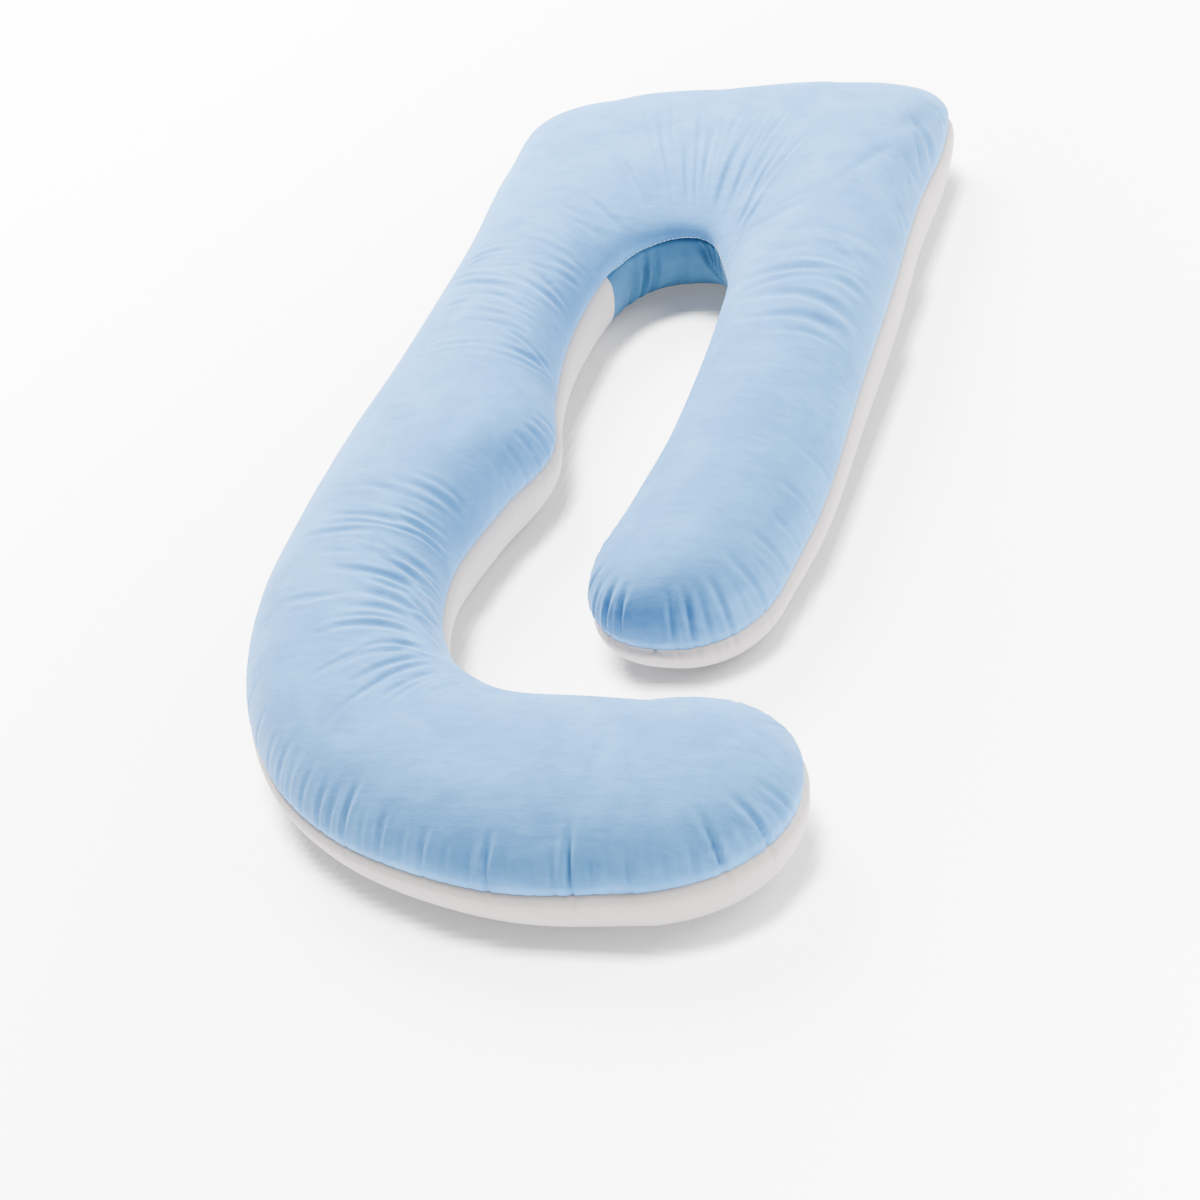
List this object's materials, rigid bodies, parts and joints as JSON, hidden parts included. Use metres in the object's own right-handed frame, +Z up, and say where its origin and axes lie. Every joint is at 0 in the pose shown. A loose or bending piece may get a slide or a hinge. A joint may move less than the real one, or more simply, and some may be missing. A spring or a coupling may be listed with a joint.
{
  "type": "full-body pregnancy pillow",
  "caption": "Full-body pregnancy pillow with a squared head end, a short straight leg and a long leg that curls into a hook; light blue velvet above, white cloth below.",
  "frame": {"origin": "centre of the footprint on the surface it lies on", "axes": "+Z up, +Y towards the head end, +X towards the short leg"},
  "size_m": [0.7411, 1.5417, 0.1747],
  "materials": {
    "blue_velvet": "soft short-pile velvet",
    "white_cloth": "matt brushed cloth",
    "blue_lower_cloth": "soft short-pile velvet"
  },
  "bodies": {
    "root": {"top_panel": "blue_velvet", "underside_panel": "white_cloth", "crook_panel": "blue_lower_cloth"}
  },
  "joints": []
}
